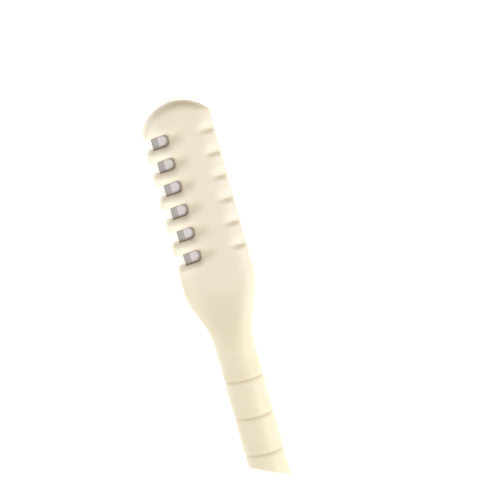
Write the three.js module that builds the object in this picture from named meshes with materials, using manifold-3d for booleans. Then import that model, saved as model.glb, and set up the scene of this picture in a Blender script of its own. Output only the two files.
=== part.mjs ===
// Guarded-blade grooming comb: a moulded front body with guard fingers, a rear handle shell
// fixed by screws, and a rear cover that slides off the head to change the steel blade.
// Millimetres. +X runs from the head to the handle, +Y is the spine side, +Z is the front.
import * as THREE from 'three';
import { mergeVertices } from 'three/addons/utils/BufferGeometryUtils.js';
import Module from 'manifold-3d';

const wasm = await Module();
wasm.setup();

// Head
const PITCH = 7; // finger to finger
const GAPS = 6;
const GAP_WIDTH = PITCH / 2;
const FIRST_GAP_X = 9.9; // centre of the first gap, from the tip of the dome
const GAP_SLANT = 0.08; // the guard fingers lean this much towards the handle
const DOME_RADIUS = 13;
const DOME_Y = 1.3; // the dome's centre lies a little towards the spine
const SPINE_Y = 11.35;
const TIP_Y = -9.95; // fingertip nearest the dome
const SHOULDER_Y = -10.35; // guard shoulder after the last gap
const GAP_END_Y = -2.4; // closed end of each gap
const HEAD_TOP = 8.6;
const EDGE = 1.2; // rounding of the head's edges
const SPINE_ROUND = { width: 4.6, drop: 2.6 };

// Handle
const AXIS_Z = 5.85; // height of the handle's axis over the back of the head
const NECK_RADIUS = 5.75;
const NECK_X = 74; // the shoulder has become the round neck here
const SHOULDER_X = 53; // the sides start to draw in here
const RING_X = [83.3, 94.6, 105.9];
const RING_PITCH = RING_X[1] - RING_X[0];
const RING_RADIUS = 5.45; // bottom of each step
const SWELL_RADIUS = 5.85; // widest part of each barrel
const END = { x: 111.5, z: 11.2 }; // point that the slanted end passes through, on the top of the handle
const END_SLANT = THREE.MathUtils.degToRad(25); // turned towards the fingers' side
const END_TILT = THREE.MathUtils.degToRad(8.2); // and leaning out towards the rear

// Shells
const WALL = 1.6;
const SPLIT_Z = 5.1; // parting plane between front and rear pieces
const GAP = 0.3; // clearance between pieces that touch
const COVER_END_X = 56;
const HEAD_END_X = 64; // the front moulding is two nodes, head and handle, on each side of this plane

// Blade set
const BLADE = { x: 6, length: 43, edgeY: -7.45, width: 10.55, thickness: 0.3, z: 5.4 };
const BEVEL = { width: 1.9, drop: 0.12 }; // ground face behind the cutting edge
const PLATE = { x: 8, length: 39, y: -1.9, width: 4.8, thickness: 0.6, z: 4.5 };
const PEG = { radius: 1, z: 4.6, height: 2.6, y: 0.4, x: [13.5, 41.5] };

// Slide rail and screws
const RAIL = { x: 7, length: 47, y: 6.7, root: 2.6, foot: 4, depth: 2.9 };
const SLIDE_GAP = 0.25;
const SCREW = { x: [69.5, 89, 100.3], headRadius: 1.9, headZ: 0.5, headHeight: 1.3,
  shankRadius: 1, tipZ: 9 };
const BOSS_RADIUS = 2.6;

const FAR = 200; // longer than the whole tool, for cutting blocks
const SIDES = 32; // facets round the handle

const plastic = new THREE.MeshStandardMaterial({ color: 0xe9dfc8, roughness: 0.45, metalness: 0 });
const bladeSteel = new THREE.MeshStandardMaterial({ color: 0xc9c6c4, roughness: 0.28, metalness: 1 });
const plateSteel = new THREE.MeshStandardMaterial({ color: 0x9b9c9e, roughness: 0.4, metalness: 1 });
const screwSteel = new THREE.MeshStandardMaterial({ color: 0xb4b2ac, roughness: 0.35, metalness: 1 });

function solid(geometry, place = new THREE.Matrix4()) {
  const bare = geometry.clone().applyMatrix4(place);
  bare.deleteAttribute('normal');
  bare.deleteAttribute('uv');
  const merged = mergeVertices(bare, 1e-4);
  return new wasm.Manifold(new wasm.Mesh({
    numProp: 3,
    vertProperties: new Float32Array(merged.attributes.position.array),
    triVerts: new Uint32Array(merged.index.array),
  }));
}

function node(name, shape, material) {
  const data = shape.getMesh();
  const geometry = new THREE.BufferGeometry();
  geometry.setAttribute('position', new THREE.BufferAttribute(data.vertProperties, 3));
  geometry.setIndex(new THREE.BufferAttribute(data.triVerts, 1));
  geometry.computeVertexNormals();
  const mesh = new THREE.Mesh(geometry, material);
  mesh.name = name;
  return mesh;
}

const moved = (x, y, z) => new THREE.Matrix4().makeTranslation(x, y, z);
const union = (shapes) => shapes.reduce((sum, shape) => sum.add(shape));

// A box given by its low corner and its size.
function block(x, y, z, length, width, height) {
  const centre = moved(x + length / 2, y + width / 2, z + height / 2);
  return solid(new THREE.BoxGeometry(length, width, height), centre);
}

// A plan outline in X and Y, raised from z to z + height, with its edges rounded by bevel.
function plate(outline, z, height, bevel = 0) {
  const geometry = new THREE.ExtrudeGeometry(outline, {
    depth: height - 2 * bevel, curveSegments: 8, bevelEnabled: bevel > 0, bevelSegments: 2,
    bevelThickness: bevel, bevelSize: bevel, bevelOffset: -bevel,
  });
  return solid(geometry, moved(0, 0, z + bevel));
}

// An outline in Y and Z, drawn along X from x to x + length.
function bar(outline, x, length) {
  const geometry = new THREE.ExtrudeGeometry(outline, {
    depth: length, curveSegments: 6, bevelEnabled: false,
  });
  const place = new THREE.Matrix4().makeBasis(
    new THREE.Vector3(0, 1, 0), new THREE.Vector3(0, 0, 1), new THREE.Vector3(1, 0, 0));
  return solid(geometry, place.setPosition(x, 0, 0));
}

// A profile of (x, radius) points turned round the handle's axis.
function turned(profile) {
  const points = profile.map(([x, radius]) => new THREE.Vector2(radius, x));
  const place = new THREE.Matrix4().makeBasis(
    new THREE.Vector3(0, 1, 0), new THREE.Vector3(1, 0, 0), new THREE.Vector3(0, 0, -1));
  return solid(new THREE.LatheGeometry(points, SIDES), place.setPosition(0, 0, AXIS_Z));
}

// A round rod between two points.
function rod(radius, from, to, sides = 16) {
  const axis = to.clone().sub(from);
  const turn = new THREE.Quaternion().setFromUnitVectors(
    new THREE.Vector3(0, 1, 0), axis.clone().normalize());
  const place = new THREE.Matrix4().makeRotationFromQuaternion(turn);
  place.setPosition(from.clone().addScaledVector(axis, 0.5));
  return solid(new THREE.CylinderGeometry(radius, radius, axis.length(), sides), place);
}

const upright = (radius, x, y, z, height, sides) =>
  rod(radius, new THREE.Vector3(x, y, z), new THREE.Vector3(x, y, z + height), sides);

const gapX = (i) => FIRST_GAP_X + i * PITCH;

// Fingertips stand a little further out towards the handle.
function tipY(x) {
  const last = gapX(GAPS - 1) + PITCH / 2;
  return THREE.MathUtils.mapLinear(x, gapX(0), last, TIP_Y, SHOULDER_Y);
}

// Plan of the whole head, shoulder and neck, without the gaps.
function headOutline() {
  const corner = Math.asin((SPINE_Y - DOME_Y) / DOME_RADIUS);
  const lobe = Math.asin((TIP_Y + 1.6 - DOME_Y) / DOME_RADIUS);
  const outline = new THREE.Shape();
  outline.moveTo(NECK_X, NECK_RADIUS);
  outline.bezierCurveTo(65.4, NECK_RADIUS, 61.4, SPINE_Y, SHOULDER_X - 1, SPINE_Y);
  outline.lineTo(DOME_RADIUS - DOME_RADIUS * Math.cos(corner), SPINE_Y);
  outline.absarc(DOME_RADIUS, DOME_Y, DOME_RADIUS, Math.PI - corner, Math.PI - lobe, false);
  outline.quadraticCurveTo(5.8, TIP_Y, 8, TIP_Y);
  outline.lineTo(gapX(0), TIP_Y);
  outline.lineTo(gapX(GAPS - 1), SHOULDER_Y);
  outline.lineTo(SHOULDER_X, SHOULDER_Y);
  outline.bezierCurveTo(60.4, SHOULDER_Y, 65, -NECK_RADIUS, 72.4, -NECK_RADIUS);
  outline.lineTo(NECK_X, -NECK_RADIUS);
  return outline;
}

// Cross-section of the head: the spine's front edge is the broad round one.
function headSection() {
  const { width, drop } = SPINE_ROUND;
  const section = new THREE.Shape();
  section.moveTo(-FAR, -FAR);
  section.lineTo(SPINE_Y, -FAR);
  section.lineTo(SPINE_Y, HEAD_TOP - drop);
  section.absellipse(SPINE_Y - width, HEAD_TOP - drop, width, drop, 0, Math.PI / 2, false, 0);
  section.lineTo(-FAR, HEAD_TOP);
  return section;
}

// Everything between two neighbouring fingertips, with a rounded closed end, cut away.
function gapOutline(x) {
  const half = GAP_WIDTH / 2;
  const corner = 1.2;
  const open = tipY(x) - 3;
  const round = 1.5; // corners of the fingertips on both sides
  const outline = new THREE.Shape();
  outline.moveTo(x - half - round, open);
  outline.lineTo(x + half + round, open);
  outline.lineTo(x + half + round, tipY(x));
  outline.absarc(x + half + round, tipY(x) + round, round, -Math.PI / 2, -Math.PI, true);
  outline.lineTo(x + half, GAP_END_Y - corner);
  outline.absarc(x + half - corner, GAP_END_Y - corner, corner, 0, Math.PI / 2, false);
  outline.absarc(x - half + corner, GAP_END_Y - corner, corner, Math.PI / 2, Math.PI, false);
  outline.absarc(x - half - round, tipY(x) + round, round, 0, -Math.PI / 2, true);
  const slanted = outline.getPoints(6).map((point) =>
    new THREE.Vector2(point.x - GAP_SLANT * (point.y + PITCH / 2), point.y));
  return new THREE.Shape(slanted);
}

// Shallow trough that runs out into the face behind each gap.
function trough(x) {
  const radius = 1.5;
  return rod(radius, new THREE.Vector3(x, GAP_END_Y - 1.5, HEAD_TOP + radius - 1.15),
    new THREE.Vector3(x, 3, HEAD_TOP + radius + 0.25));
}

// Scallop across the round of the spine: its floor is the chord of that round.
function flute(x) {
  const radius = 2.6;
  const start = SPINE_Y - SPINE_ROUND.width - 0.8;
  const down = new THREE.Vector3(0, SPINE_Y - start, -SPINE_ROUND.drop);
  const lift = new THREE.Vector3(0, SPINE_ROUND.drop, SPINE_Y - start).setLength(radius);
  const middle = new THREE.Vector3(x, start, HEAD_TOP).add(lift);
  return rod(radius, middle.clone().addScaledVector(down, -1), middle.addScaledVector(down, 2));
}

// Barrels that swell towards the handle's end and step in at each ring.
function handleProfile() {
  const shoulder = new THREE.CubicBezierCurve(
    new THREE.Vector2(SHOULDER_X + 2, 2.4), new THREE.Vector2(62, 2.4),
    new THREE.Vector2(65.5, NECK_RADIUS), new THREE.Vector2(NECK_X, NECK_RADIUS));
  const barrel = [[0, 0], [0.12, 0.35], [0.35, 0.8], [0.62, 1], [0.93, 0.85]]; // along it, and out
  return [
    [SHOULDER_X + 2, 0],
    ...shoulder.getPoints(7).map((point) => [point.x, point.y]),
    [RING_X[0] - 0.8, NECK_RADIUS],
    ...RING_X.flatMap((x) => barrel.map(([along, out]) =>
      [x + along * RING_PITCH, RING_RADIUS + out * (SWELL_RADIUS - RING_RADIUS)])),
    [FAR, NECK_RADIUS], [FAR, 0],
  ];
}

// Round envelope that trims the flat head down to the neck.
function shoulderEnvelope() {
  const trim = new THREE.CubicBezierCurve(
    new THREE.Vector2(SHOULDER_X, 14), new THREE.Vector2(62.5, 14),
    new THREE.Vector2(66, NECK_RADIUS), new THREE.Vector2(NECK_X, NECK_RADIUS));
  const points = trim.getPoints(7).map((point) => [point.x, point.y]);
  return turned([[-5, 0], [-5, 20], [SHOULDER_X - 1, 20], ...points, [NECK_X, 0]]);
}

// Block beyond the slanted end, or beyond a plane inset from it.
function pastEnd(inset) {
  const place = new THREE.Matrix4().makeRotationZ(-END_SLANT)
    .multiply(new THREE.Matrix4().makeRotationY(-END_TILT));
  const facing = new THREE.Vector3(1, 0, 0).transformDirection(place);
  place.setPosition(new THREE.Vector3(END.x, 0, END.z).addScaledVector(facing, FAR / 2 - inset));
  return solid(new THREE.BoxGeometry(FAR, FAR, FAR), place);
}

function outerBody() {
  const flat = plate(headOutline(), 0, HEAD_TOP, EDGE)
    .intersect(bar(headSection(), -FAR / 2, FAR * 2))
    .intersect(shoulderEnvelope());
  let body = flat.add(turned(handleProfile())).subtract(pastEnd(0));
  for (let i = 0; i < GAPS; i += 1) {
    body = body.subtract(plate(gapOutline(gapX(i)), -1, HEAD_TOP + 2))
      .subtract(trough(gapX(i)))
      .subtract(flute(gapX(i)));
  }
  return body;
}

// Hollow inside the handle, closed by a wall along the slanted end.
function handleHollow() {
  const inner = NECK_RADIUS - WALL;
  return turned([[65, 0], [65, 2.6], [69, 3.6], [NECK_X, inner], [FAR, inner], [FAR, 0]])
    .subtract(pastEnd(WALL));
}

// Dovetail that the cover slides on, widened all round by spare.
function rail(spare, x, length) {
  const { y, root, foot, depth } = RAIL;
  const outline = new THREE.Shape();
  outline.moveTo(y - root / 2 - spare, SPLIT_Z + WALL);
  outline.lineTo(y - root / 2 - spare, SPLIT_Z);
  outline.lineTo(y - foot / 2 - spare, SPLIT_Z - depth - spare);
  outline.lineTo(y + foot / 2 + spare, SPLIT_Z - depth - spare);
  outline.lineTo(y + root / 2 + spare, SPLIT_Z);
  outline.lineTo(y + root / 2 + spare, SPLIT_Z + WALL);
  return bar(outline, x, length);
}

function frontBody(body, hollow) {
  const top = SPLIT_Z + GAP / 2;
  const upperHalf = body.intersect(block(-5, -FAR / 2, top, FAR, FAR, FAR));
  const bosses = union(SCREW.x.map((x) => upright(BOSS_RADIUS, x, 0, top, AXIS_Z)))
    .intersect(turned(handleProfile()));
  const pilots = union(SCREW.x.map((x) => upright(SCREW.shankRadius + 0.1, x, 0, 0, SCREW.tipZ + 0.3)));
  const bladeSeat = block(BLADE.x - GAP, BLADE.edgeY - GAP, 0,
    BLADE.length + 2 * GAP, BLADE.width + 2 * GAP, BLADE.z + BLADE.thickness + GAP);
  const pegHoles = union(PEG.x.map((x) => upright(PEG.radius + 0.1, x, PEG.y, 4, PEG.height + 0.8)));
  return upperHalf.subtract(hollow)
    .add(bosses)
    .subtract(pilots)
    .subtract(bladeSeat)
    .subtract(pegHoles)
    .add(rail(0, RAIL.x, RAIL.length).intersect(block(0, -FAR / 2, 0, FAR, FAR, SPLIT_Z + WALL / 2)));
}

function rearHandleShell(body, hollow) {
  const top = SPLIT_Z - GAP / 2;
  const lowerHalf = body.intersect(block(COVER_END_X + GAP, -FAR / 2, -1, FAR, FAR, top + 1));
  const bosses = union(SCREW.x.map((x) => upright(BOSS_RADIUS + 0.4, x, 0, 1, top - 1)));
  const headRoom = SCREW.headZ + SCREW.headHeight + 0.1;
  const holes = union(SCREW.x.flatMap((x) => [
    upright(SCREW.shankRadius + 0.25, x, 0, -1, AXIS_Z + 2),
    upright(SCREW.headRadius + 0.2, x, 0, -1, 1 + headRoom),
  ]));
  return lowerHalf.subtract(hollow).add(bosses.intersect(body)).subtract(holes);
}

function rearCover(body) {
  const top = SPLIT_Z - GAP / 2;
  const lowerHalf = body.intersect(block(-5, -FAR / 2, -1, COVER_END_X + 5, FAR, top + 1));
  const plateRoom = block(PLATE.x - GAP, PLATE.y - GAP, PLATE.z - GAP,
    FAR, PLATE.width + 2 * GAP, FAR);
  const grips = union([0, 1, 2, 3, 4].map((i) => rod(0.7,
    new THREE.Vector3(45 + 2 * i, -FAR, -0.35), new THREE.Vector3(45 + 2 * i, FAR, -0.35), 12)));
  const gripArea = block(44, -5.5, -2, 10, 13, 6);
  return lowerHalf.subtract(plateRoom)
    .subtract(rail(SLIDE_GAP, RAIL.x - SLIDE_GAP, FAR))
    .subtract(grips.intersect(gripArea));
}

function blade() {
  const { x, length, edgeY, width, thickness, z } = BLADE;
  const section = new THREE.Shape();
  section.moveTo(edgeY, z + thickness / 2 - 0.02);
  section.lineTo(edgeY + BEVEL.width, z);
  section.lineTo(edgeY + width, z);
  section.lineTo(edgeY + width, z + thickness);
  section.lineTo(edgeY + BEVEL.width, z + thickness);
  section.lineTo(edgeY, z + thickness / 2 + 0.02);
  const holes = PEG.x.map((pegX) => upright(PEG.radius + 0.3, pegX, PEG.y, z - 1, 3, 20));
  return bar(section, x, length).subtract(union(holes));
}

function bladeClampPlate() {
  const { x, length, y, width, thickness, z } = PLATE;
  const holes = PEG.x.map((pegX) => upright(PEG.radius + 0.2, pegX, PEG.y, z - 1, 3, 20));
  return block(x, y, z, length, width, thickness).subtract(union(holes));
}

function shellScrew(x) {
  const { headRadius, headZ, headHeight, shankRadius, tipZ } = SCREW;
  const head = upright(headRadius, x, 0, headZ, headHeight, 24);
  const shank = upright(shankRadius, x, 0, headZ + headHeight / 2, tipZ - headZ - headHeight / 2, 16);
  const slots = block(x - 1.2, -0.25, headZ - 1, 2.4, 0.5, 1.7)
    .add(block(x - 0.25, -1.2, headZ - 1, 0.5, 2.4, 1.7));
  return head.add(shank).subtract(slots);
}

const body = outerBody();
const hollow = handleHollow();
const front = frontBody(body, hollow);
const headSide = block(-5, -FAR / 2, -1, HEAD_END_X + 5, FAR, FAR);
const handleSide = block(HEAD_END_X + GAP, -FAR / 2, -1, FAR, FAR, FAR);

const comb = new THREE.Group();
comb.add(
  node('front_body', front.intersect(headSide), plastic),
  node('front_handle_shell', front.intersect(handleSide), plastic),
  node('rear_handle_shell', rearHandleShell(body, hollow), plastic),
  node('rear_cover', rearCover(body), plastic),
  node('blade', blade(), bladeSteel),
  node('blade_clamp_plate', bladeClampPlate(), plateSteel),
  ...PEG.x.map((x, i) => node(`blade_peg_${i + 1}`,
    upright(PEG.radius, x, PEG.y, PEG.z, PEG.height, 20), screwSteel)),
  ...SCREW.x.map((x, i) => node(`shell_screw_${i + 1}`, shellScrew(x), screwSteel)),
);
const lean = Math.tan(END_TILT) / Math.cos(END_SLANT);
const endX = END.x + lean * (END.z - AXIS_Z) + NECK_RADIUS * Math.hypot(Math.tan(END_SLANT), lean);
comb.position.set(-endX / 2, -(SPINE_Y + SHOULDER_Y) / 2, 0);

export default comb;
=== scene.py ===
"""Guarded-blade pet comb in moulded plastic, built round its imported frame.

Each piece is drawn as a signed distance field in millimetres, in the part's own coordinates: x from the
tip of the dome to the handle, y towards the spine, z out of the front face. The field is then turned
into a closed mesh of quads, so every moulded edge gets its real rounding.
"""

import math

import bpy
import numpy as np
from mathutils import Matrix, Vector


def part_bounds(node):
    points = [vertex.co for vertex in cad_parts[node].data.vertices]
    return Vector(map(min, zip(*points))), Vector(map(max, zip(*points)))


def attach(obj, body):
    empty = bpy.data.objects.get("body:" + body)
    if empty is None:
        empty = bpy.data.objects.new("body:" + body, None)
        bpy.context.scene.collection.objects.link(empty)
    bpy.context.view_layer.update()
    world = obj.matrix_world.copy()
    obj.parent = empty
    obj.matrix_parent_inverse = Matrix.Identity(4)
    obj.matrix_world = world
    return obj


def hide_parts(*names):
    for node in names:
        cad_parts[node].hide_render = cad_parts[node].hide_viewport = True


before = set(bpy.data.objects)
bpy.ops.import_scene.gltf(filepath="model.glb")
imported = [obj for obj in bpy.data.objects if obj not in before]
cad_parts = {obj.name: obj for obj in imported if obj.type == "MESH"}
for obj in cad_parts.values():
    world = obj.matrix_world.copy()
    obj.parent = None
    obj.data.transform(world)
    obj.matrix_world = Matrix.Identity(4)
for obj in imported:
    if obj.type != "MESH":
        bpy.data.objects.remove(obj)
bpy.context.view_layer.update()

MM = 0.001
FAR = 300.0  # past every part of the comb

# ---------------------------------------------------------------- sizes in mm, mostly from the frame


def box_mm(node):
    low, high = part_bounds(node)
    return np.array(low) / MM, np.array(high) / MM


SPINE_Y = 11.35  # the spine's side in the part's own coordinates
body_low, body_high = box_mm("front_body")
ORIGIN = np.array([body_low[0], body_high[1] - SPINE_Y, 0.0])  # where the part's own 0, 0, 0 lies


def part_box(node):
    """Lowest and highest corner of a CAD node in the part's own coordinates."""
    low, high = box_mm(node)
    return low - ORIGIN, high - ORIGIN


blade_low, blade_high = part_box("blade")
plate_low, plate_high = part_box("blade_clamp_plate")
cover_high = part_box("rear_cover")[1]
shell_low, shell_high = part_box("rear_handle_shell")
peg_boxes = [part_box(f"blade_peg_{i}") for i in (1, 2)]
screw_boxes = [part_box(f"shell_screw_{i}") for i in (1, 2, 3)]

PITCH = 7.0
GAPS = 6
FIRST_GAP_X = 9.9
GAP_SLANT = 0.08  # the guard fingers lean this much towards the handle
GAP_HALF = PITCH / 4
GAP_END_Y = -2.4
GAP_END_ROUND = 1.2  # corners of the closed end of each gap
DOME_RADIUS = 13.0
DOME_Y = 1.3
TIP_Y = -9.95
SHOULDER_Y = -10.35
HEAD_TOP = 8.6
CROWN = {"fall": 0.35, "half": 11}  # fall of the front face over this distance from its middle
SPLIT_Z = (cover_high[2] + 5.25) / 2
SEAM = 0.08  # half the fine line between front and rear pieces
JOINT_CLOSED = 0.1  # cover and handle each reach this much further into their joint than in the CAD

# Roundings of the head. The ovals give how far they reach in from the outline, and up or down from the face.
TIP_ROUND = 2.6  # where the dome meets the line of the fingertips
FACE_ROUND = 1.3
GAP_ROUND = 1.6  # front and outer edges of the gaps
BACK_ROUND = 1.2
FACE_OVAL = (2.3, 1.8)
BACK_OVAL = (1.1, 3.0)
SPINE_OVAL = (5.2, 2.8)

# Shallow hollow behind each gap, and scallops across the round of the spine.
TROUGH = {"depth": 0.6, "half": 1.7, "shift": 0.25, "fades_from": GAP_END_Y + 1.4, "ends": 3.2}
FLUTE = {"depth": 0.62, "slant": 0.1, "y": 8.8, "long_slope": 3.3, "short_slope": 1.6, "flat": 1.15,
         "starts": 5.2, "full": 9.2, "fades_from": 10.3, "fade": 0.55}

AXIS_Z = 5.85
NECK_RADIUS = 5.75
SWELL_RADIUS = 5.85
RING_RADIUS = 5.4
SHOULDER_X = 53.0
NECK_X = 74.0
FIRST_RING_X = 83.3
RING_PITCH = 11.3
RING_SLANT = 0.03  # the rings stand slightly askew
# Each barrel: how far along it, and its share of the swell there. The neck ends in the first ring.
BARREL = ([0, 0.025, 0.06, 0.12, 0.3, 0.62, 0.86, 0.93, 0.97, 1],
          [0, 0.3, 0.6, 0.78, 0.92, 1, 0.9, 0.75, 0.45, 0])
NECK_END = ([FIRST_RING_X - 2.5, FIRST_RING_X - 0.9, FIRST_RING_X - 0.3, FIRST_RING_X],
            [0.75, 0.68, 0.42, 0])
END_X = 111.5  # the slanted end passes through here, at END_Z
END_Z = 11.2
END_SLANT = math.radians(25)
END_TILT = math.radians(8.2)
END_NORMAL = (math.cos(END_SLANT) * math.cos(END_TILT), -math.sin(END_SLANT) * math.cos(END_TILT),
              math.sin(END_TILT))
LAST_X = shell_high[0] + 0.1  # just past the far end of the handle
END_ROUND = 0.4
WALL = 1.6
HOLLOW = ([65, 69, NECK_X], [2.6, 3.6, NECK_RADIUS - WALL])  # x along the handle, and the radius there

RAIL = {"x": 7.0, "end": 54.0, "y": 6.7, "root": 1.3, "foot": 2.0, "low": 2.2, "rooted": 0.6, "fillet": 0.1}
RAIL_ROOM = 0.25  # clearance round the rail in the cover
SCREW_X = [(low[0] + high[0]) / 2 for low, high in screw_boxes]
PEGS = [((low[0] + high[0]) / 2, (low[1] + high[1]) / 2) for low, high in peg_boxes]
BOSS = {"front": 2.6, "rear": 3, "skin": 0.5, "fillet": 0.3, "front_top": 11, "rear_low": 1}
SCREW_HOLE = {"front": 1.1, "front_top": 9.3, "rear": 1.25, "rear_top": 8, "sunk": 2.1, "sunk_top": 1.9,
              "sunk_round": 0.2}
PEG_HOLE = {"radius": 1.1, "low": 4, "high": 7.4}
ROOM = 0.3  # clearance round the blade and its clamp plate
GRIPS = {"pitch": 2, "radius": 0.95, "depth": 0.5, "low": (44, -5.5, -FAR), "high": (54, 7.5, FAR)}
EDGE_ROUND = 0.15  # fine rounding along the joint lines
COVER_END_ROUND = 0.25
PEG_EDGE = 0.25
PLATE = {"hole": 1.2, "corner": 0.8, "edge": 0.12}
BLADE_HOLE = 1.3
BEVEL = {"edge": 0.02, "step": 0.35, "step_fall": 0.07, "width": 1.9}
BLADE_CORNER = 1.2
SCREW = {"head": 1.3, "crown": 0.45, "slot": 0.28, "slot_half": 1.25, "slot_deep": 0.85, "taper": 0.25,
         "shank": 0.8, "root": 0.7, "thread": 0.3, "pitch": 0.8, "plain": 0.3, "point": 1.6, "tip": 0.12}

# How much painted shade the plastic gets in each place, from 0 to 1, and how far that reaches: darker deep
# in the gaps, in the hollows behind them, in the creases of the scallops, in and before the handle's rings
# and on the wall of the dome, where shade falls.
PAINTED_SHADE_AMOUNT = {"gap_wall": 0.35, "trough": 0.62, "crease": 0.42, "ring": 0.26, "before_ring": 0.13}
PAINTED_SHADE_REACH = {"gap_z": (0.4, 2.4), "gap_wall": (0.2, 0.6), "edge": (-0.2, 0.8), "crease": 0.75,
               "crease_shift": 0.3, "trough": (-1.5, 0.3), "ring": 0.5, "before_ring": 2.6, "ring_from": 5}
# Painted shade on the wall of the dome: where across the head, how far in from the outline, and where it
# fades.
DOME_PAINTED_SHADE = {"y": 4, "half": 7.5, "depth": 0.85, "fades": (5, 9)}
# Painted shadow on the blade along the walls of the gaps: shift, end, rounding and fade.
BLADE_PAINTED_SHADOW = {"shift": 0.12, "end": 0.25, "round": 1.7, "from": -0.75, "full": -0.05}
FINGERTIP_PAINTED_LIGHT_SPAN = {"y": (3, 8), "x": (47, 52)}  # painted light: the guard fingers are painted paler, more and more towards their tips, for the light they let through

# ---------------------------------------------------------------- distance fields


def rounded_max(a, b, radius):
    """Intersection whose convex edge is rounded."""
    past_both = np.hypot(np.maximum(a + radius, 0), np.maximum(b + radius, 0))
    return np.minimum(-radius, np.maximum(a, b)) + past_both


def rounded_min(a, b, radius):
    """Union whose inner corner is filleted."""
    return -rounded_max(-a, -b, radius)


def oval_max(a, b, reach_a, reach_b):
    """Intersection whose edge is a quarter ellipse."""
    least = min(reach_a, reach_b)
    return least * (np.hypot(np.maximum(a / reach_a + 1, 0), np.maximum(b / reach_b + 1, 0)) - 1)


def slab(value, low, high):
    return np.maximum(low - value, value - high)


def brick(x, y, z, low, high):
    sides = np.maximum(slab(x, low[0], high[0]), slab(y, low[1], high[1]))
    return np.maximum(sides, slab(z, low[2], high[2]))


def upright(x, y, z, centre, radius, low, high):
    return np.maximum(np.hypot(x - centre[0], y - centre[1]) - radius, slab(z, low, high))


def eased(value, start, end):
    t = np.clip((value - start) / (end - start), 0, 1)
    return t * t * (3 - 2 * t)


def bezier(points, count=40):
    t = np.linspace(0, 1, count)[:, None]
    p0, p1, p2, p3 = (np.array(p) for p in points)
    return (1 - t) ** 3 * p0 + 3 * (1 - t) ** 2 * t * p1 + 3 * (1 - t) * t * t * p2 + t ** 3 * p3


SPINE_CURVE = bezier([(SHOULDER_X - 1, SPINE_Y), (61.4, SPINE_Y),
                      (65.4, NECK_RADIUS), (NECK_X, NECK_RADIUS)])
FINGER_CURVE = bezier([(SHOULDER_X, SHOULDER_Y), (60.4, SHOULDER_Y),
                       (65, -NECK_RADIUS), (72.4, -NECK_RADIUS)])


def spine_edge(x):
    return np.interp(x, SPINE_CURVE[:, 0], SPINE_CURVE[:, 1])


def finger_edge(x):
    last_x = FIRST_GAP_X + (GAPS - 0.5) * PITCH
    tips = np.interp(x, [FIRST_GAP_X, last_x], [TIP_Y, SHOULDER_Y])
    return np.where(x > SHOULDER_X, np.interp(x, FINGER_CURVE[:, 0], FINGER_CURVE[:, 1]), tips)


def nearest_gap(x):
    """Distance along x from the middle of the nearest gap."""
    index = np.clip(np.round((x - FIRST_GAP_X) / PITCH), 0, GAPS - 1)
    return x - FIRST_GAP_X - index * PITCH


def along_gap(x, y):
    """Distance from the middle of the nearest gap, which leans with the fingers."""
    return nearest_gap(x + GAP_SLANT * (y + PITCH / 2))


def along_flute(x, y):
    return nearest_gap(x - FLUTE["slant"] * (y - FLUTE["y"]))


def gap(x, y):
    """Slot between two fingers, with a rounded closed end."""
    return rounded_max(np.abs(along_gap(x, y)) - GAP_HALF, y - GAP_END_Y, GAP_END_ROUND)


def trough(x, y):
    """Depth of the shallow hollow that runs out into the face behind each gap."""
    across = np.exp(-((along_gap(x, y) + TROUGH["shift"]) / TROUGH["half"]) ** 2)
    return TROUGH["depth"] * across * (1 - eased(y, TROUGH["fades_from"], TROUGH["ends"]))


def flute_reach(y):
    """Share of the scallops' full depth."""
    fade = FLUTE["fade"] * eased(y, FLUTE["fades_from"], SPINE_Y)
    return eased(y, FLUTE["starts"], FLUTE["full"]) * (1 - fade)


def flute(x, y):
    """Depth of the scallops across the round of the spine: long slopes that drop into narrow creases."""
    along = along_flute(x, y)
    slope = np.where(along < 0, 1 + along / FLUTE["long_slope"], 1 - along / FLUTE["short_slope"])
    return FLUTE["depth"] * flute_reach(y) * eased(slope, 0, FLUTE["flat"])


def head_outline(x, y):
    """Plan outline of the head, as if there were no gaps."""
    reach = np.where(x < DOME_RADIUS, np.hypot(x - DOME_RADIUS, y - DOME_Y), np.abs(y - DOME_Y))
    return rounded_max(reach - DOME_RADIUS, finger_edge(x) - y, TIP_ROUND)


def head(x, y, z):
    outline = head_outline(x, y)
    middle = (spine_edge(x) + finger_edge(x)) / 2
    top = z - HEAD_TOP + CROWN["fall"] * ((y - middle) / CROWN["half"]) ** 2 + trough(x, y) + flute(x, y)
    fingers = rounded_max(rounded_max(outline, top, FACE_ROUND), -gap(x, y), GAP_ROUND)
    rim = np.maximum(oval_max(outline, top, *FACE_OVAL), oval_max(outline, -z, *BACK_OVAL))
    spine = oval_max(y - spine_edge(x), top, *SPINE_OVAL)
    return np.maximum(rounded_max(np.maximum(fingers, spine), -z, BACK_ROUND), rim)


def barrel_radius(x):
    """Neck, then barrels that swell towards the handle's end and step in at each ring."""
    along = np.mod((x - FIRST_RING_X) / RING_PITCH, 1)
    share = np.where(x < FIRST_RING_X, np.interp(x, *NECK_END), np.interp(along, *BARREL))
    return RING_RADIUS + (SWELL_RADIUS - RING_RADIUS) * share


def handle(x, y, z):
    half = (spine_edge(x) - finger_edge(x)) / 2
    middle = (spine_edge(x) + finger_edge(x)) / 2
    barrel = barrel_radius(x - RING_SLANT * y)
    wide = np.where(x < NECK_X, half, barrel)
    deep = np.where(x < NECK_X, NECK_RADIUS, barrel)
    return (np.hypot((y - middle) / wide, (z - AXIS_Z) / deep) - 1) * np.minimum(wide, deep)


def past_end(x, y, z, inset=0.0):
    """Distance beyond the slanted end of the handle."""
    return (x - END_X) * END_NORMAL[0] + y * END_NORMAL[1] + (z - END_Z) * END_NORMAL[2] + inset


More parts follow.
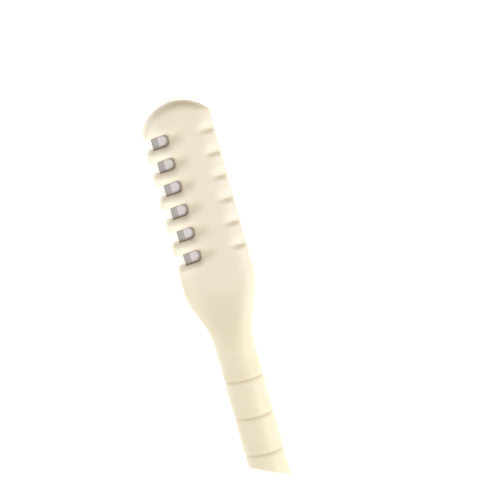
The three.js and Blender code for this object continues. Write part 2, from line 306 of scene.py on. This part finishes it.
def outer(x, y, z):
    """The whole tool from outside, where the flat head turns into the round handle."""
    round_part = eased(x, SHOULDER_X + 2, NECK_X)
    body = (1 - round_part) * head(x, y, z) + round_part * handle(x, y, z)
    return rounded_max(body, past_end(x, y, z), END_ROUND)


def hollow(x, y, z):
    """Inside of the handle."""
    tube = np.hypot(y, z - AXIS_Z) - np.interp(x, *HOLLOW)
    return np.maximum(np.maximum(tube, HOLLOW[0][0] - x), past_end(x, y, z, WALL))


def rail(x, y, z, spare):
    """Dovetail on the front body that the cover slides on."""
    slope = (RAIL["foot"] - RAIL["root"]) / (SPLIT_Z - RAIL["low"])
    half = RAIL["root"] + spare + slope * (SPLIT_Z - z)
    return np.maximum(np.abs(y - RAIL["y"]) - half, RAIL["low"] - spare - z)


def front_body(x, y, z):
    skin = outer(x, y, z)
    shell = rounded_max(skin, SPLIT_Z + SEAM - z, EDGE_ROUND)
    shell = np.maximum(shell, -hollow(x, y, z))
    for screw_x in SCREW_X:
        at = (screw_x, 0)
        boss = upright(x, y, z, at, BOSS["front"], SPLIT_Z + SEAM, BOSS["front_top"])
        shell = rounded_min(shell, np.maximum(boss, skin + BOSS["skin"]), BOSS["fillet"])
        shell = np.maximum(shell, -upright(x, y, z, at, SCREW_HOLE["front"], 0, SCREW_HOLE["front_top"]))
    seat_low = np.array([blade_low[0] - ROOM, blade_low[1] - ROOM, -FAR])
    shell = np.maximum(shell, -brick(x, y, z, seat_low, blade_high + ROOM))
    for peg_at in PEGS:
        hole = upright(x, y, z, peg_at, PEG_HOLE["radius"], PEG_HOLE["low"], PEG_HOLE["high"])
        shell = np.maximum(shell, -hole)
    tongue = np.maximum(slab(x, RAIL["x"], RAIL["end"]), z - SPLIT_Z - RAIL["rooted"])
    return rounded_min(shell, np.maximum(rail(x, y, z, 0), tongue), RAIL["fillet"])


def rear_handle_shell(x, y, z):
    skin = outer(x, y, z)
    shell = rounded_max(skin, z - SPLIT_Z + SEAM, EDGE_ROUND)
    shell = rounded_max(shell, shell_low[0] - JOINT_CLOSED - x, COVER_END_ROUND)
    shell = np.maximum(shell, -hollow(x, y, z))
    for screw_x in SCREW_X:
        at = (screw_x, 0)
        boss = upright(x, y, z, at, BOSS["rear"], BOSS["rear_low"], SPLIT_Z - SEAM)
        shell = rounded_min(shell, np.maximum(boss, skin + BOSS["skin"]), BOSS["fillet"])
        shell = np.maximum(shell, -upright(x, y, z, at, SCREW_HOLE["rear"], -FAR, SCREW_HOLE["rear_top"]))
        sunk = upright(x, y, z, at, SCREW_HOLE["sunk"], -FAR, SCREW_HOLE["sunk_top"])
        shell = rounded_max(shell, -sunk, SCREW_HOLE["sunk_round"])
    return shell


def rear_cover(x, y, z):
    cover = rounded_max(outer(x, y, z), z - SPLIT_Z + SEAM, EDGE_ROUND)
    cover = rounded_max(cover, x - cover_high[0] - JOINT_CLOSED, COVER_END_ROUND)
    plate_room = np.array([FAR, plate_high[1] + ROOM, FAR])  # open towards the handle and the front
    cover = np.maximum(cover, -brick(x, y, z, plate_low - ROOM, plate_room))
    groove = np.maximum(rail(x, y, z, RAIL_ROOM), RAIL["x"] - RAIL_ROOM - x)
    cover = rounded_max(cover, -groove, RAIL["fillet"])
    across = np.mod(x - GRIPS["low"][0], GRIPS["pitch"]) - GRIPS["pitch"] / 2
    grips = np.maximum(np.hypot(across, z + GRIPS["depth"]) - GRIPS["radius"],
                       brick(x, y, z, GRIPS["low"], GRIPS["high"]))
    return rounded_max(cover, -grips, EDGE_ROUND)


def blade(x, y, z):
    low, high = blade_low, blade_high
    half = (high[2] - low[2]) / 2
    ground = np.interp(y, [low[1], low[1] + BEVEL["step"], low[1] + BEVEL["width"]],
                       [BEVEL["edge"], half - BEVEL["step_fall"], half])
    strip = np.maximum(np.abs(z - (low[2] + high[2]) / 2) - ground, slab(y, low[1], high[1]))
    strip = np.maximum(strip, slab(x, low[0], high[0]))
    corners = np.minimum(x - low[0], high[0] - x) + high[1] - y
    strip = np.maximum(strip, (BLADE_CORNER - corners) * 0.7)
    for peg_at in PEGS:
        strip = np.maximum(strip, BLADE_HOLE - np.hypot(x - peg_at[0], y - peg_at[1]))
    return strip


def clamp_plate(x, y, z):
    low, high = plate_low, plate_high
    outline = rounded_max(slab(x, low[0], high[0]), slab(y, low[1], high[1]), PLATE["corner"])
    for peg_at in PEGS:
        outline = np.maximum(outline, PLATE["hole"] - np.hypot(x - peg_at[0], y - peg_at[1]))
    return rounded_max(outline, slab(z, low[2], high[2]), PLATE["edge"])


def peg(low, high):
    centre = (low + high) / 2
    radius = (high[0] - low[0]) / 2

    def field(x, y, z):
        round_side = np.hypot(x - centre[0], y - centre[1]) - radius
        return rounded_max(round_side, slab(z, low[2], high[2]), PEG_EDGE)
    return field


def screw(low, high):
    """Pan head with a cross recess, and a tapering self-tapping thread."""
    centre = (low + high) / 2
    head_radius = (high[0] - low[0]) / 2
    head_top = low[2] + SCREW["head"]

    def field(x, y, z):
        dx, dy = x - centre[0], y - centre[1]
        radius = np.hypot(dx, dy)
        dome = low[2] + SCREW["crown"] * (radius / head_radius) ** 2 - z
        cap = rounded_max(np.maximum(radius - head_radius, dome), z - head_top, EDGE_ROUND)
        arms = np.minimum(np.maximum(np.abs(dx) - SCREW["slot"], np.abs(dy) - SCREW["slot_half"]),
                          np.maximum(np.abs(dy) - SCREW["slot"], np.abs(dx) - SCREW["slot_half"]))
        recess = np.maximum(arms + SCREW["taper"] * (z - low[2]), z - low[2] - SCREW["slot_deep"])
        cap = np.maximum(cap, -recess)
        turn = np.arctan2(dy, dx) / (2 * math.pi)
        wave = np.abs(np.mod((z - turn * SCREW["pitch"]) / SCREW["pitch"], 1) - 0.5) * 2
        thread = SCREW["root"] + SCREW["thread"] * np.clip(wave * 2.2 - 1.2, 0, 1)
        point = np.clip((high[2] - z) / SCREW["point"], SCREW["tip"], 1)
        core = np.where(z > head_top + SCREW["plain"], thread, SCREW["shank"]) * point
        shank = np.maximum((radius - core) * 0.7, slab(z, low[2] + 0.9, high[2]))
        return np.minimum(cap, shank)
    return field


def ring_painted_shade(x, y):
    """Painted shade: a narrow dark line in each ring, which fades slowly up the barrel before it."""
    past = np.mod(x - RING_SLANT * y - FIRST_RING_X + RING_PITCH / 2, RING_PITCH) - RING_PITCH / 2
    narrow = past / PAINTED_SHADE_REACH["ring"]
    fading = np.where(past < 0, past / PAINTED_SHADE_REACH["before_ring"], narrow)
    amount = PAINTED_SHADE_AMOUNT["ring"] * np.exp(-narrow ** 2) + PAINTED_SHADE_AMOUNT["before_ring"] * np.exp(-fading ** 2)
    return amount * (x > FIRST_RING_X - PAINTED_SHADE_REACH["ring_from"])


def dome_painted_shade(x, y):
    """Painted shade, strongest on the wall of the dome, fading into the face."""
    across = np.exp(-((y - DOME_PAINTED_SHADE["y"]) / DOME_PAINTED_SHADE["half"]) ** 2)
    inwards = np.exp(np.minimum(head_outline(x, y), 0) / DOME_PAINTED_SHADE["depth"])
    return across * inwards * (1 - eased(x, *DOME_PAINTED_SHADE["fades"]))


def moulding_painted_shade(x, y, z):
    """How much painted shade a point of the mouldings gets."""
    blade_z = (blade_low[2] + blade_high[2]) / 2
    edge = blade_low[1] + np.array(PAINTED_SHADE_REACH["edge"])
    deep = 1 - eased(np.abs(z - blade_z), *PAINTED_SHADE_REACH["gap_z"])
    deep = deep * (1 - eased(np.abs(gap(x, y)), *PAINTED_SHADE_REACH["gap_wall"])) * eased(y, *edge)
    middle = along_flute(x, y) - PAINTED_SHADE_REACH["crease_shift"]
    crease = np.exp(-(middle / PAINTED_SHADE_REACH["crease"]) ** 2) * flute_reach(y) ** 2
    start = GAP_END_Y + np.array(PAINTED_SHADE_REACH["trough"])
    shallow = eased(y, *start) * trough(x, y)
    front = eased(z, SPLIT_Z, SPLIT_Z + 1) * (PAINTED_SHADE_AMOUNT["trough"] * shallow + PAINTED_SHADE_AMOUNT["crease"] * crease)
    return np.clip(PAINTED_SHADE_AMOUNT["gap_wall"] * deep + front + ring_painted_shade(x, y) + dome_painted_shade(x, y), 0, 1)


def blade_painted_shadow(x, y, z):
    """Painted shadow: a dark line where the blade meets the walls of the gaps."""
    across = np.abs(along_gap(x, y) + BLADE_PAINTED_SHADOW["shift"]) - GAP_HALF
    within = rounded_max(across, y - GAP_END_Y + BLADE_PAINTED_SHADOW["end"], BLADE_PAINTED_SHADOW["round"])
    return eased(within, BLADE_PAINTED_SHADOW["from"], BLADE_PAINTED_SHADOW["full"])


def fingertip_painted_light(x, y, z):
    """How far out a point lies on the guard fingers, which sets their painted light."""
    return eased(-y, *FINGERTIP_PAINTED_LIGHT_SPAN["y"]) * (1 - eased(x, *FINGERTIP_PAINTED_LIGHT_SPAN["x"]))


# No painted shade: zero everywhere.
def no_painted_shade(x, y, z):
    return np.zeros_like(x)


# ---------------------------------------------------------------- from field to mesh


def samples(low, high, step):
    """Where the field is measured: a grid that reaches just past the piece on every side."""
    return [np.arange(low[i] - 1.5 * step[i], high[i] + 2.5 * step[i], step[i]) for i in range(3)]


def cell_points(values, axes):
    """One point in each cell that the surface crosses: the mean of the crossings on the cell's edges."""
    cells = tuple(n - 1 for n in values.shape)
    total = np.zeros(cells + (3,))
    count = np.zeros(cells)
    for axis in range(3):
        ends = [slice(None)] * 3
        ends[axis] = slice(0, -1)
        near = values[tuple(ends)]
        ends[axis] = slice(1, None)
        far = values[tuple(ends)]
        crossed = (near < 0) != (far < 0)
        index = np.argwhere(crossed)
        share = near[crossed] / (near[crossed] - far[crossed])
        place = np.stack([axes[i][index[:, i]] for i in range(3)], 1)
        place[:, axis] += share * (axes[axis][1] - axes[axis][0])
        others = [i for i in range(3) if i != axis]
        for back_a in (0, 1):
            for back_b in (0, 1):
                cell = index.copy()
                cell[:, others[0]] -= back_a
                cell[:, others[1]] -= back_b
                inside = np.all((cell >= 0) & (cell < cells), axis=1)
                flat = np.ravel_multi_index(cell[inside].T, cells)
                np.add.at(total.reshape(-1, 3), flat, place[inside])
                np.add.at(count.reshape(-1), flat, 1)
    return total, count


def surface(field, low, high, step):
    """Vertices and quads of the field's zero surface, by surface nets."""
    axes = samples(low, high, step)
    values = field(*np.meshgrid(*axes, indexing="ij"))
    total, count = cell_points(values, axes)
    active = count > 0
    number = np.full(count.shape, -1)
    number[active] = np.arange(active.sum())
    points = total[active] / count[active][:, None]
    quads = []
    for axis in range(3):
        b, c = [(1, 2), (2, 0), (0, 1)][axis]
        ends = [slice(None)] * 3
        ends[axis] = slice(0, -1)
        near = values[tuple(ends)] < 0
        ends[axis] = slice(1, None)
        far = values[tuple(ends)] < 0
        index = np.argwhere(near != far)
        leaving = near[tuple(index.T)]
        ring = []
        for back_b, back_c in ((1, 1), (0, 1), (0, 0), (1, 0)):
            cell = index.copy()
            cell[:, b] -= back_b
            cell[:, c] -= back_c
            ring.append(number[tuple(cell.T)])
        ring = np.stack(ring, 1)
        ring[~leaving] = ring[~leaving][:, ::-1]
        quads.append(ring)
    return settle(field, points, np.array(step)), np.concatenate(quads)


def settle(field, points, step):
    """Moves each point onto the surface, along the field's slope."""
    small = 0.02
    least_slope = 0.04  # squared
    for _ in range(2):
        here = field(*points.T)
        slope = np.stack([(field(*(points + offset).T) - field(*(points - offset).T)) / (2 * small)
                          for offset in np.eye(3) * small], 1)
        size = np.maximum((slope ** 2).sum(1), least_slope)
        move = -(here / size)[:, None] * slope
        points = points + np.clip(move, -step / 3, step / 3)
    return points


def piece(name, field, low, high, step, material, node, body, painted_shade=no_painted_shade, also=()):
    """Meshes a field, puts it in the frame and lets it stand for its CAD node."""
    points, quads = surface(field, low, high, step)
    mesh = bpy.data.meshes.new(name)
    mesh.vertices.add(len(points))
    mesh.vertices.foreach_set("co", ((points + ORIGIN) * MM).ravel())
    mesh.loops.add(quads.size)
    mesh.loops.foreach_set("vertex_index", quads.ravel().astype(np.int32))
    mesh.polygons.add(len(quads))
    mesh.polygons.foreach_set("loop_start", np.arange(0, quads.size, 4, dtype=np.int32))
    mesh.polygons.foreach_set("use_smooth", np.ones(len(quads), bool))
    mesh.update(calc_edges=True)
    mesh.validate()
    # Painted shade and painted light, stored on the points for the materials.
    for attribute, amount in (("painted_shade", painted_shade), ("fingertip_painted_light", fingertip_painted_light)):
        held = mesh.attributes.new(attribute, "FLOAT", "POINT")
        held.data.foreach_set("value", amount(*points.T).astype(np.float32))
    mesh.materials.append(material)
    obj = bpy.data.objects.new(name, mesh)
    bpy.context.scene.collection.objects.link(obj)
    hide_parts(*([node] + list(also)))
    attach(obj, body)
    return obj


# ---------------------------------------------------------------- materials

CREAM = ((0.705, 0.64, 0.51), (0.735, 0.67, 0.54))
HANDLE_TINT = {"from": 45, "to": 68, "amount": (0.99, 0.982, 0.905)}  # along x: the handle is yellower
FINGER_PAINTED_LIGHT = {"from": -4, "to": -10, "amount": (1.05, 1.06, 1.03)}  # along y: the fingers are painted paler, painted light against the shade between them
# Painted light towards the fingertips: colour and the share mixed in.
FINGERTIP_PAINTED_LIGHT_CREAM = (0.90, 0.84, 0.68), 0.65
# Painted shade in the gaps, hollows, creases, rings and on the dome's wall: colour and the share mixed in.
BROWN_PAINTED_SHADE = (0.47, 0.345, 0.17), 0.85
PLATE_GREY = ((0.42, 0.42, 0.43), (0.5, 0.5, 0.51))
PIN_GREY = ((0.56, 0.55, 0.52), (0.64, 0.63, 0.6))
# Painted shadow on the blade along the gap walls: colour and the share mixed in.
BLADE_PAINTED_SHADOW_COLOUR = (0.34, 0.275, 0.22), 0.88
BEVEL_FINISH_AND_REFLECTION_WIDTH = 2.5  # mm from the cutting edge over which the bands below are spread: a darker ground bevel, partly its ground finish and partly painted reflection of its facets
BEVEL_FINISH_AND_REFLECTION_BANDS = [(0.0, (0.30, 0.28, 0.26)), (0.1, (0.42, 0.395, 0.375)), (0.3, (0.52, 0.49, 0.47)),
               (0.42, (0.43, 0.405, 0.385)), (0.62, (0.55, 0.52, 0.50)), (0.74, (0.40, 0.375, 0.355)),
               (0.8, (0.78, 0.73, 0.715))]
STREAKS = ((0.88, 0.88, 0.88), (1, 1, 1))
STUDIO_WHITE = ((0.93, 0.93, 0.93), (0.95, 0.95, 0.95))


class Nodes:
    """A material's node tree, with short ways to add and join nodes."""

    def __init__(self, name):
        self.material = bpy.data.materials.new(name)
        self.material.use_nodes = True
        self.tree = self.material.node_tree
        self.shader = self.tree.nodes["Principled BSDF"]
        self.place = self.add("ShaderNodeTexCoord").outputs["Object"]

    def add(self, kind, **values):
        node = self.tree.nodes.new(kind)
        for key, value in values.items():
            setattr(node, key, value)
        return node

    def join(self, source, target):
        self.tree.links.new(source, target)

    def noise(self, scale, detail=3.0, roughness=0.5, stretch=(1, 1, 1)):
        mapping = self.add("ShaderNodeMapping")
        mapping.inputs["Scale"].default_value = stretch
        self.join(self.place, mapping.inputs["Vector"])
        noise = self.add("ShaderNodeTexNoise")
        noise.inputs["Scale"].default_value = scale
        noise.inputs["Detail"].default_value = detail
        noise.inputs["Roughness"].default_value = roughness
        self.join(mapping.outputs["Vector"], noise.inputs["Vector"])
        return noise.outputs["Fac"]

    def ramp(self, factor, stops):
        ramp = self.add("ShaderNodeValToRGB")
        for i, (at, colour) in enumerate(stops):
            stop = ramp.color_ramp.elements[i] if i < 2 else ramp.color_ramp.elements.new(at)
            stop.position = at
            stop.color = (*colour, 1)
        self.join(factor, ramp.inputs["Fac"])
        return ramp.outputs["Color"]

    def mottled(self, factor, tones):
        """Blends a dark and a light tone over the middle of a noise."""
        return self.ramp(factor, [(0.3, tones[0]), (0.7, tones[1])])

    def along(self, axis):
        where = self.add("ShaderNodeSeparateXYZ")
        self.join(self.place, where.inputs["Vector"])
        return where.outputs[axis]

    def spread(self, factor, low, high):
        mapping = self.add("ShaderNodeMapRange")
        mapping.inputs["To Min"].default_value = low
        mapping.inputs["To Max"].default_value = high
        self.join(factor, mapping.inputs["Value"])
        return mapping.outputs["Result"]

    def bump(self, height, strength, distance, under=None):
        bump = self.add("ShaderNodeBump")
        bump.inputs["Strength"].default_value = strength
        bump.inputs["Distance"].default_value = distance
        self.join(height, bump.inputs["Height"])
        if under is not None:
            self.join(under, bump.inputs["Normal"])
        return bump.outputs["Normal"]

    def paint_shade_and_light(self, bare_colour, painted_colour, share, attribute="painted_shade"):
        """Mixes in another colour, up to a share, where the piece gets painted shade, or painted light where
        it is thin.
        """
        held = self.add("ShaderNodeAttribute", attribute_name=attribute).outputs["Fac"]
        mix = self.add("ShaderNodeMix", data_type="RGBA")
        self.join(self.spread(held, 0, share), mix.inputs["Factor"])
        self.join(bare_colour, mix.inputs["A"])
        mix.inputs["B"].default_value = (*painted_colour, 1)
        return mix.outputs["Result"]

    def tint(self, colour, axis, tint):
        """Multiplies a colour more and more from one place along an axis to another."""
        share = self.add("ShaderNodeMapRange", interpolation_type="SMOOTHSTEP")
        share.inputs["From Min"].default_value = (ORIGIN[axis] + tint["from"]) * MM
        share.inputs["From Max"].default_value = (ORIGIN[axis] + tint["to"]) * MM
        self.join(self.along(axis), share.inputs["Value"])
        mix = self.add("ShaderNodeMix", data_type="RGBA", blend_type="MULTIPLY")
        self.join(share.outputs["Result"], mix.inputs["Factor"])
        self.join(colour, mix.inputs["A"])
        mix.inputs["B"].default_value = (*tint["amount"], 1)
        return mix.outputs["Result"]

    def finish(self, **sockets):
        for name, value in sockets.items():
            socket = self.shader.inputs[name.replace("_", " ")]
            if isinstance(value, bpy.types.NodeSocket):
                self.join(value, socket)
            else:
                socket.default_value = value
        return self.material


def cream_plastic():
    m = Nodes("cream_plastic")
    colour = m.mottled(m.noise(60, 4, 0.55), CREAM)
    colour = m.tint(colour, 0, HANDLE_TINT)
    # The fingers painted paler: painted light.
    colour = m.tint(colour, 1, FINGER_PAINTED_LIGHT)
    grain = m.noise(9000, 2)
    flow = m.noise(180, 3, 0.5, (0.35, 1, 1))
    skin = m.bump(flow, 0.25, 0.00012)
    skin = m.bump(grain, 0.22, 0.00002, skin)
    # Painted light towards the fingertips.
    colour = m.paint_shade_and_light(colour, *FINGERTIP_PAINTED_LIGHT_CREAM, "fingertip_painted_light")
    # Painted shade in the gaps, hollows, creases, rings and on the dome's wall.
    colour = m.paint_shade_and_light(colour, *BROWN_PAINTED_SHADE)
    return m.finish(Base_Color=colour, Roughness=m.spread(m.noise(400, 3), 0.36, 0.5), Normal=skin,
                    Subsurface_Weight=0.25, Subsurface_Radius=(1.0, 0.6, 0.3), Subsurface_Scale=0.0012,
                    IOR=1.5)


def steel(name, tones, rough, stretch=(0.02, 1, 1), scale=9000):
    m = Nodes(name)
    lines = m.noise(scale, 2, 0.6, stretch)
    return m.finish(Base_Color=m.mottled(lines, tones), Metallic=1.0,
                    Roughness=m.spread(lines, rough, rough + 0.14), Normal=m.bump(lines, 0.2, 0.00001))


def blade_steel():
    """Polished strip whose ground bevel is darker, partly for its ground finish and partly as painted
    reflection of its facets, with fine lines along the edge.
    """
    m = Nodes("blade_steel")
    lines = m.noise(14000, 2, 0.6, (0.01, 1, 1))
    across = m.add("ShaderNodeMapRange")
    edge = ORIGIN[1] + blade_low[1]
    across.inputs["From Min"].default_value = edge * MM
    across.inputs["From Max"].default_value = (edge + BEVEL_FINISH_AND_REFLECTION_WIDTH) * MM
    m.join(m.along(1), across.inputs["Value"])
    mix = m.add("ShaderNodeMix", data_type="RGBA", blend_type="MULTIPLY")
    mix.inputs["Factor"].default_value = 1.0
    m.join(m.ramp(across.outputs["Result"], BEVEL_FINISH_AND_REFLECTION_BANDS), mix.inputs["A"])
    m.join(m.mottled(lines, STREAKS), mix.inputs["B"])
    # Painted shadow where the blade meets the gap walls.
    colour = m.paint_shade_and_light(mix.outputs["Result"], *BLADE_PAINTED_SHADOW_COLOUR)
    return m.finish(Base_Color=colour, Metallic=1.0, Roughness=m.spread(lines, 0.32, 0.45),
                    Normal=m.bump(lines, 0.25, 0.000008))


# ---------------------------------------------------------------- pieces

PLASTIC = cream_plastic()
PIN_STEEL = steel("pin_steel", PIN_GREY, 0.24, (1, 1, 0.05), 6000)
MOULD_STEP = (0.256, 0.256, 0.256)  # keeps the largest moulding under 200,000 triangles
FINE_STEP = (0.08, 0.08, 0.08)

piece("front_body_moulding", front_body, (0, SHOULDER_Y, RAIL["low"]), (LAST_X, SPINE_Y, 12), MOULD_STEP,
      PLASTIC, "front_body", "comb_body", moulding_painted_shade, also=["front_handle_shell"])
piece("rear_handle_moulding", rear_handle_shell, (shell_low[0], SHOULDER_Y, 0), (LAST_X, SPINE_Y, SPLIT_Z),
      MOULD_STEP, PLASTIC, "rear_handle_shell", "comb_body", moulding_painted_shade)
piece("rear_cover_moulding", rear_cover, (0, SHOULDER_Y, 0), (cover_high[0], SPINE_Y, SPLIT_Z), MOULD_STEP,
      PLASTIC, "rear_cover", "cover", moulding_painted_shade)
piece("strip_blade", blade, blade_low, blade_high, (0.15, 0.12, 0.04), blade_steel(), "blade", "comb_body",
      blade_painted_shadow)
piece("clamp_plate", clamp_plate, plate_low, plate_high, (0.2, 0.15, 0.1),
      steel("plate_steel", PLATE_GREY, 0.34), "blade_clamp_plate", "comb_body")
for i, (low, high) in enumerate(peg_boxes, 1):
    piece(f"blade_peg_turned_{i}", peg(low, high), low, high, FINE_STEP, PIN_STEEL, f"blade_peg_{i}",
          "comb_body")
for i, (low, high) in enumerate(screw_boxes, 1):
    piece(f"cross_head_screw_{i}", screw(low, high), low, high, FINE_STEP, PIN_STEEL, f"shell_screw_{i}",
          "comb_body")

# ---------------------------------------------------------------- floor, light and camera

FLOOR = {"half": 3.0, "below": 0.0002, "glow": 0.34}
BOXES = {"distance": 1.0, "size": 0.7}
KEY = {"direction": (0.48, 0.85, 0.58), "power": 6.2}
FILL = {"direction": (0.0, -1.0, 0.6), "power": 1.4}
# The light all round is stronger towards the handle and the fingers: range along a direction, and strength.
AROUND = {"direction": (0.8, -0.45, 0.2), "range": (-0.9, 0.6), "strength": (0.32, 1.12)}
LEAN = math.radians(9)  # of the line of sight, towards the head
ROLL = math.radians(15.6)
PICTURE_WIDTH = 0.1430  # what the picture spans at the comb
AIM = (46.1, 10.9, 6.0)  # middle of the picture, in the part's own millimetres
LENS = 400
SENSOR = 36


def floor():
    mesh = bpy.data.meshes.new("floor")
    half = FLOOR["half"]
    corners = [(-half, -half, 0), (half, -half, 0), (half, half, 0), (-half, half, 0)]
    mesh.from_pydata(corners, [], [(0, 1, 2, 3)])
    m = Nodes("studio_white")
    mesh.materials.append(m.finish(Base_Color=m.mottled(m.noise(3, 2), STUDIO_WHITE), Roughness=0.9,
                                   Emission_Color=(1, 1, 1, 1), Emission_Strength=FLOOR["glow"]))
    obj = bpy.data.objects.new("floor", mesh)
    bpy.context.scene.collection.objects.link(obj)
    obj.location.z = -FLOOR["below"]


def soft_light(name, direction, power):
    """Square soft box that looks at the comb from a direction in the frame."""
    data = bpy.data.lights.new(name, "AREA")
    data.shape = "SQUARE"
    data.size = BOXES["size"]
    data.energy = power
    obj = bpy.data.objects.new(name, data)
    obj.visible_camera = False
    towards = Vector(direction).normalized()
    obj.location = towards * BOXES["distance"]
    obj.rotation_euler = towards.to_track_quat("Z", "Y").to_euler()
    bpy.context.scene.collection.objects.link(obj)


def studio():
    world = bpy.data.worlds.new("studio")
    world.use_nodes = True
    tree = world.node_tree
    background = tree.nodes["Background"]
    place = tree.nodes.new("ShaderNodeTexCoord")
    across = tree.nodes.new("ShaderNodeVectorMath")
    across.operation = "DOT_PRODUCT"
    across.inputs[1].default_value = AROUND["direction"]
    shade = tree.nodes.new("ShaderNodeMapRange")
    shade.inputs["From Min"].default_value, shade.inputs["From Max"].default_value = AROUND["range"]
    shade.inputs["To Min"].default_value, shade.inputs["To Max"].default_value = AROUND["strength"]
    tree.links.new(place.outputs["Generated"], across.inputs[0])
    tree.links.new(across.outputs["Value"], shade.inputs["Value"])
    tree.links.new(shade.outputs["Result"], background.inputs["Strength"])
    background.inputs["Color"].default_value = (1, 1, 1, 1)
    bpy.context.scene.world = world
    soft_light("key_box", **KEY)
    soft_light("fill_box", **FILL)
    floor()


def camera():
    """Looks down at the front, from a little beyond the head, with the comb leaning in the picture."""
    data = bpy.data.cameras.new("camera")
    data.sensor_width = SENSOR
    data.lens = LENS
    data.clip_end = 20
    back = Vector((-math.sin(LEAN), 0, math.cos(LEAN)))
    along = Vector((math.cos(LEAN), 0, math.sin(LEAN)))
    across = Vector((0, 1, 0))
    right = along * math.sin(ROLL) + across * math.cos(ROLL)
    up = across * math.sin(ROLL) - along * math.cos(ROLL)
    obj = bpy.data.objects.new("camera", data)
    obj.matrix_world = Matrix((right, up, back)).transposed().to_4x4()
    obj.location = Vector((ORIGIN + np.array(AIM)) * MM) + back * (PICTURE_WIDTH * LENS / SENSOR)
    bpy.context.scene.collection.objects.link(obj)
    bpy.context.scene.camera = obj


studio()
camera()
bpy.context.scene.view_settings.view_transform = "Standard"
